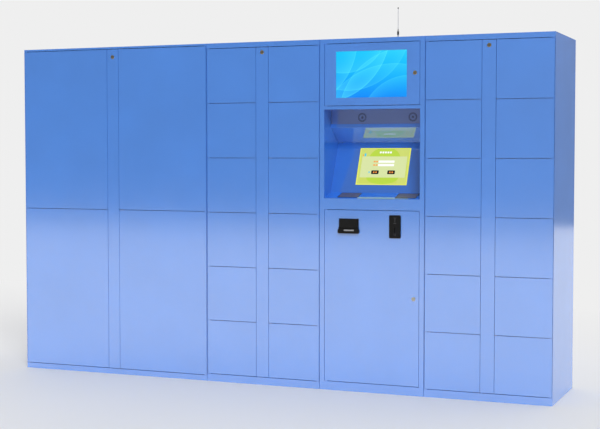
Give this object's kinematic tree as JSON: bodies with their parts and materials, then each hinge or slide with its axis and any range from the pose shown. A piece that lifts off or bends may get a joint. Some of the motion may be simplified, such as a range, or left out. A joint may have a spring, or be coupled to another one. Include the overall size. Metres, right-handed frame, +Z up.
{
  "type": "parcel locker",
  "caption": "Bank of sheet-steel parcel lockers with hinged doors, lock strips, and a master cabinet with touch screen niche, advertising screen, receipt printer and coin slot.",
  "frame": {"origin": "on the floor below the middle of the bank", "axes": "+X along the front, to the right as seen from the front; +Y from the doors to the back; +Z up"},
  "size_m": [3.243, 0.584, 2.12],
  "materials": {
    "blue_paint": "glossy",
    "zinc_steel": "satin",
    "brass": "polished",
    "black_plastic": "matt",
    "grey_plastic": "matt",
    "lcd_screen": "glossy",
    "touch_screen": "glossy"
  },
  "bodies": {
    "cabinets": {"parcel_shell": "blue_paint", "parcel_rack": "blue_paint", "parcel_lock_post": "zinc_steel", "locker_a_shell": "blue_paint", "locker_a_rack": "blue_paint", "locker_a_lock_post": "zinc_steel", "locker_b_shell": "blue_paint", "locker_b_rack": "blue_paint", "locker_b_lock_post": "zinc_steel", "master_shell": "blue_paint", "niche_liner": "blue_paint", "touch_monitor": "touch_screen", "speaker_left": "black_plastic", "speaker_right": "black_plastic", "controller_box": "zinc_steel", "antenna_base": "black_plastic", "antenna_whip": "grey_plastic"},
    "parcel_door_left_1": {"parcel_door_left_1": "blue_paint"},
    "parcel_door_left_2": {"parcel_door_left_2": "blue_paint"},
    "parcel_door_right_1": {"parcel_door_right_1": "blue_paint"},
    "parcel_door_right_2": {"parcel_door_right_2": "blue_paint"},
    "parcel_strip": {"parcel_strip": "blue_paint"},
    "parcel_strip_lock": {"parcel_strip_lock": "brass"},
    "locker_a_door_left_1": {"locker_a_door_left_1": "blue_paint"},
    "locker_a_door_left_2": {"locker_a_door_left_2": "blue_paint"},
    "locker_a_door_left_3": {"locker_a_door_left_3": "blue_paint"},
    "locker_a_door_left_4": {"locker_a_door_left_4": "blue_paint"},
    "locker_a_door_left_5": {"locker_a_door_left_5": "blue_paint"},
    "locker_a_door_left_6": {"locker_a_door_left_6": "blue_paint"},
    "locker_a_door_right_1": {"locker_a_door_right_1": "blue_paint"},
    "locker_a_door_right_2": {"locker_a_door_right_2": "blue_paint"},
    "locker_a_door_right_3": {"locker_a_door_right_3": "blue_paint"},
    "locker_a_door_right_4": {"locker_a_door_right_4": "blue_paint"},
    "locker_a_door_right_5": {"locker_a_door_right_5": "blue_paint"},
    "locker_a_door_right_6": {"locker_a_door_right_6": "blue_paint"},
    "locker_a_strip": {"locker_a_strip": "blue_paint"},
    "locker_a_strip_lock": {"locker_a_strip_lock": "brass"},
    "locker_b_door_left_1": {"locker_b_door_left_1": "blue_paint"},
    "locker_b_door_left_2": {"locker_b_door_left_2": "blue_paint"},
    "locker_b_door_left_3": {"locker_b_door_left_3": "blue_paint"},
    "locker_b_door_left_4": {"locker_b_door_left_4": "blue_paint"},
    "locker_b_door_left_5": {"locker_b_door_left_5": "blue_paint"},
    "locker_b_door_left_6": {"locker_b_door_left_6": "blue_paint"},
    "locker_b_door_right_1": {"locker_b_door_right_1": "blue_paint"},
    "locker_b_door_right_2": {"locker_b_door_right_2": "blue_paint"},
    "locker_b_door_right_3": {"locker_b_door_right_3": "blue_paint"},
    "locker_b_door_right_4": {"locker_b_door_right_4": "blue_paint"},
    "locker_b_door_right_5": {"locker_b_door_right_5": "blue_paint"},
    "locker_b_door_right_6": {"locker_b_door_right_6": "blue_paint"},
    "locker_b_strip": {"locker_b_strip": "blue_paint"},
    "locker_b_strip_lock": {"locker_b_strip_lock": "brass"},
    "ad_door": {"ad_door": "blue_paint", "ad_monitor": "lcd_screen"},
    "ad_lock": {"ad_lock": "brass"},
    "service_door": {"service_door": "blue_paint", "printer_body": "black_plastic", "coin_acceptor": "black_plastic"},
    "service_lock": {"service_lock": "brass"},
    "printer_cover": {"printer_cover": "black_plastic"},
    "coin_button": {"coin_button": "grey_plastic"}
  },
  "joints": [
    {"name": "parcel_door_left_1_hinge", "type": "hinge", "parent": "cabinets", "child": "parcel_door_left_1", "pos_m": [-1.61, -0.28, 1.46115], "axis": [0, 0, -1], "range_deg": [0, 90]},
    {"name": "parcel_door_left_2_hinge", "type": "hinge", "parent": "cabinets", "child": "parcel_door_left_2", "pos_m": [-1.61, -0.28, 0.5094], "axis": [0, 0, -1], "range_deg": [0, 90]},
    {"name": "parcel_door_right_1_hinge", "type": "hinge", "parent": "cabinets", "child": "parcel_door_right_1", "pos_m": [-0.397, -0.28, 1.46115], "axis": [0, 0, 1], "range_deg": [0, 90]},
    {"name": "parcel_door_right_2_hinge", "type": "hinge", "parent": "cabinets", "child": "parcel_door_right_2", "pos_m": [-0.397, -0.28, 0.5094], "axis": [0, 0, 1], "range_deg": [0, 90]},
    {"name": "parcel_strip_hinge", "type": "hinge", "parent": "cabinets", "child": "parcel_strip", "pos_m": [-1.033, -0.28, 0.98525], "axis": [0, 0, -1], "range_deg": [0, 90]},
    {"name": "parcel_strip_lock_turn", "type": "hinge", "parent": "parcel_strip", "child": "parcel_strip_lock", "pos_m": [-1.0035, -0.285, 1.89], "axis": [0, 1, 0], "range_deg": [0, 90]},
    {"name": "locker_a_door_left_1_hinge", "type": "hinge", "parent": "cabinets", "child": "locker_a_door_left_1", "pos_m": [-0.372, -0.28, 1.76347], "axis": [0, 0, -1], "range_deg": [0, 90]},
    {"name": "locker_a_door_left_2_hinge", "type": "hinge", "parent": "cabinets", "child": "locker_a_door_left_2", "pos_m": [-0.372, -0.28, 1.4508], "axis": [0, 0, -1], "range_deg": [0, 90]},
    {"name": "locker_a_door_left_3_hinge", "type": "hinge", "parent": "cabinets", "child": "locker_a_door_left_3", "pos_m": [-0.372, -0.28, 1.13813], "axis": [0, 0, -1], "range_deg": [0, 90]},
    {"name": "locker_a_door_left_4_hinge", "type": "hinge", "parent": "cabinets", "child": "locker_a_door_left_4", "pos_m": [-0.372, -0.28, 0.82547], "axis": [0, 0, -1], "range_deg": [0, 90]},
    {"name": "locker_a_door_left_5_hinge", "type": "hinge", "parent": "cabinets", "child": "locker_a_door_left_5", "pos_m": [-0.372, -0.28, 0.5128], "axis": [0, 0, -1], "range_deg": [0, 90]},
    {"name": "locker_a_door_left_6_hinge", "type": "hinge", "parent": "cabinets", "child": "locker_a_door_left_6", "pos_m": [-0.372, -0.28, 0.20013], "axis": [0, 0, -1], "range_deg": [0, 90]},
    {"name": "locker_a_door_right_1_hinge", "type": "hinge", "parent": "cabinets", "child": "locker_a_door_right_1", "pos_m": [0.3035, -0.28, 1.76347], "axis": [0, 0, 1], "range_deg": [0, 90]},
    {"name": "locker_a_door_right_2_hinge", "type": "hinge", "parent": "cabinets", "child": "locker_a_door_right_2", "pos_m": [0.3035, -0.28, 1.4508], "axis": [0, 0, 1], "range_deg": [0, 90]},
    {"name": "locker_a_door_right_3_hinge", "type": "hinge", "parent": "cabinets", "child": "locker_a_door_right_3", "pos_m": [0.3035, -0.28, 1.13813], "axis": [0, 0, 1], "range_deg": [0, 90]},
    {"name": "locker_a_door_right_4_hinge", "type": "hinge", "parent": "cabinets", "child": "locker_a_door_right_4", "pos_m": [0.3035, -0.28, 0.82547], "axis": [0, 0, 1], "range_deg": [0, 90]},
    {"name": "locker_a_door_right_5_hinge", "type": "hinge", "parent": "cabinets", "child": "locker_a_door_right_5", "pos_m": [0.3035, -0.28, 0.5128], "axis": [0, 0, 1], "range_deg": [0, 90]},
    {"name": "locker_a_door_right_6_hinge", "type": "hinge", "parent": "cabinets", "child": "locker_a_door_right_6", "pos_m": [0.3035, -0.28, 0.20013], "axis": [0, 0, 1], "range_deg": [0, 90]},
    {"name": "locker_a_strip_hinge", "type": "hinge", "parent": "cabinets", "child": "locker_a_strip", "pos_m": [-0.06375, -0.28, 0.9818], "axis": [0, 0, -1], "range_deg": [0, 90]},
    {"name": "locker_a_strip_lock_turn", "type": "hinge", "parent": "locker_a_strip", "child": "locker_a_strip_lock", "pos_m": [-0.03425, -0.285, 1.89], "axis": [0, 1, 0], "range_deg": [0, 90]},
    {"name": "locker_b_door_left_1_hinge", "type": "hinge", "parent": "cabinets", "child": "locker_b_door_left_1", "pos_m": [0.9345, -0.28, 1.76347], "axis": [0, 0, -1], "range_deg": [0, 90]},
    {"name": "locker_b_door_left_2_hinge", "type": "hinge", "parent": "cabinets", "child": "locker_b_door_left_2", "pos_m": [0.9345, -0.28, 1.4508], "axis": [0, 0, -1], "range_deg": [0, 90]},
    {"name": "locker_b_door_left_3_hinge", "type": "hinge", "parent": "cabinets", "child": "locker_b_door_left_3", "pos_m": [0.9345, -0.28, 1.13813], "axis": [0, 0, -1], "range_deg": [0, 90]},
    {"name": "locker_b_door_left_4_hinge", "type": "hinge", "parent": "cabinets", "child": "locker_b_door_left_4", "pos_m": [0.9345, -0.28, 0.82547], "axis": [0, 0, -1], "range_deg": [0, 90]},
    {"name": "locker_b_door_left_5_hinge", "type": "hinge", "parent": "cabinets", "child": "locker_b_door_left_5", "pos_m": [0.9345, -0.28, 0.5128], "axis": [0, 0, -1], "range_deg": [0, 90]},
    {"name": "locker_b_door_left_6_hinge", "type": "hinge", "parent": "cabinets", "child": "locker_b_door_left_6", "pos_m": [0.9345, -0.28, 0.20013], "axis": [0, 0, -1], "range_deg": [0, 90]},
    {"name": "locker_b_door_right_1_hinge", "type": "hinge", "parent": "cabinets", "child": "locker_b_door_right_1", "pos_m": [1.61, -0.28, 1.76347], "axis": [0, 0, 1], "range_deg": [0, 90]},
    {"name": "locker_b_door_right_2_hinge", "type": "hinge", "parent": "cabinets", "child": "locker_b_door_right_2", "pos_m": [1.61, -0.28, 1.4508], "axis": [0, 0, 1], "range_deg": [0, 90]},
    {"name": "locker_b_door_right_3_hinge", "type": "hinge", "parent": "cabinets", "child": "locker_b_door_right_3", "pos_m": [1.61, -0.28, 1.13813], "axis": [0, 0, 1], "range_deg": [0, 90]},
    {"name": "locker_b_door_right_4_hinge", "type": "hinge", "parent": "cabinets", "child": "locker_b_door_right_4", "pos_m": [1.61, -0.28, 0.82547], "axis": [0, 0, 1], "range_deg": [0, 90]},
    {"name": "locker_b_door_right_5_hinge", "type": "hinge", "parent": "cabinets", "child": "locker_b_door_right_5", "pos_m": [1.61, -0.28, 0.5128], "axis": [0, 0, 1], "range_deg": [0, 90]},
    {"name": "locker_b_door_right_6_hinge", "type": "hinge", "parent": "cabinets", "child": "locker_b_door_right_6", "pos_m": [1.61, -0.28, 0.20013], "axis": [0, 0, 1], "range_deg": [0, 90]},
    {"name": "locker_b_strip_hinge", "type": "hinge", "parent": "cabinets", "child": "locker_b_strip", "pos_m": [1.24275, -0.28, 0.9818], "axis": [0, 0, -1], "range_deg": [0, 90]},
    {"name": "locker_b_strip_lock_turn", "type": "hinge", "parent": "locker_b_strip", "child": "locker_b_strip_lock", "pos_m": [1.27225, -0.285, 1.89], "axis": [0, 1, 0], "range_deg": [0, 90]},
    {"name": "ad_door_hinge", "type": "hinge", "parent": "cabinets", "child": "ad_door", "pos_m": [0.3535, -0.28, 1.7532], "axis": [0, 0, -1], "range_deg": [0, 90]},
    {"name": "ad_lock_turn", "type": "hinge", "parent": "ad_door", "child": "ad_lock", "pos_m": [0.866, -0.285, 1.7545], "axis": [0, 1, 0], "range_deg": [0, 90]},
    {"name": "service_door_hinge", "type": "hinge", "parent": "cabinets", "child": "service_door", "pos_m": [0.3535, -0.28, 0.52965], "axis": [0, 0, -1], "range_deg": [0, 80]},
    {"name": "service_lock_turn", "type": "hinge", "parent": "service_door", "child": "service_lock", "pos_m": [0.8625, -0.285, 0.5297], "axis": [0, 1, 0], "range_deg": [0, 90]},
    {"name": "printer_cover_hinge", "type": "hinge", "parent": "service_door", "child": "printer_cover", "pos_m": [0.489, -0.2925, 0.9115], "axis": [1, 0, 0], "range_deg": [0, 75]},
    {"name": "coin_button_press", "type": "slide", "parent": "service_door", "child": "coin_button", "axis": [0, 1, 0], "range_m": [0, 0.003], "stiffness_N_per_m": 150}
  ]
}
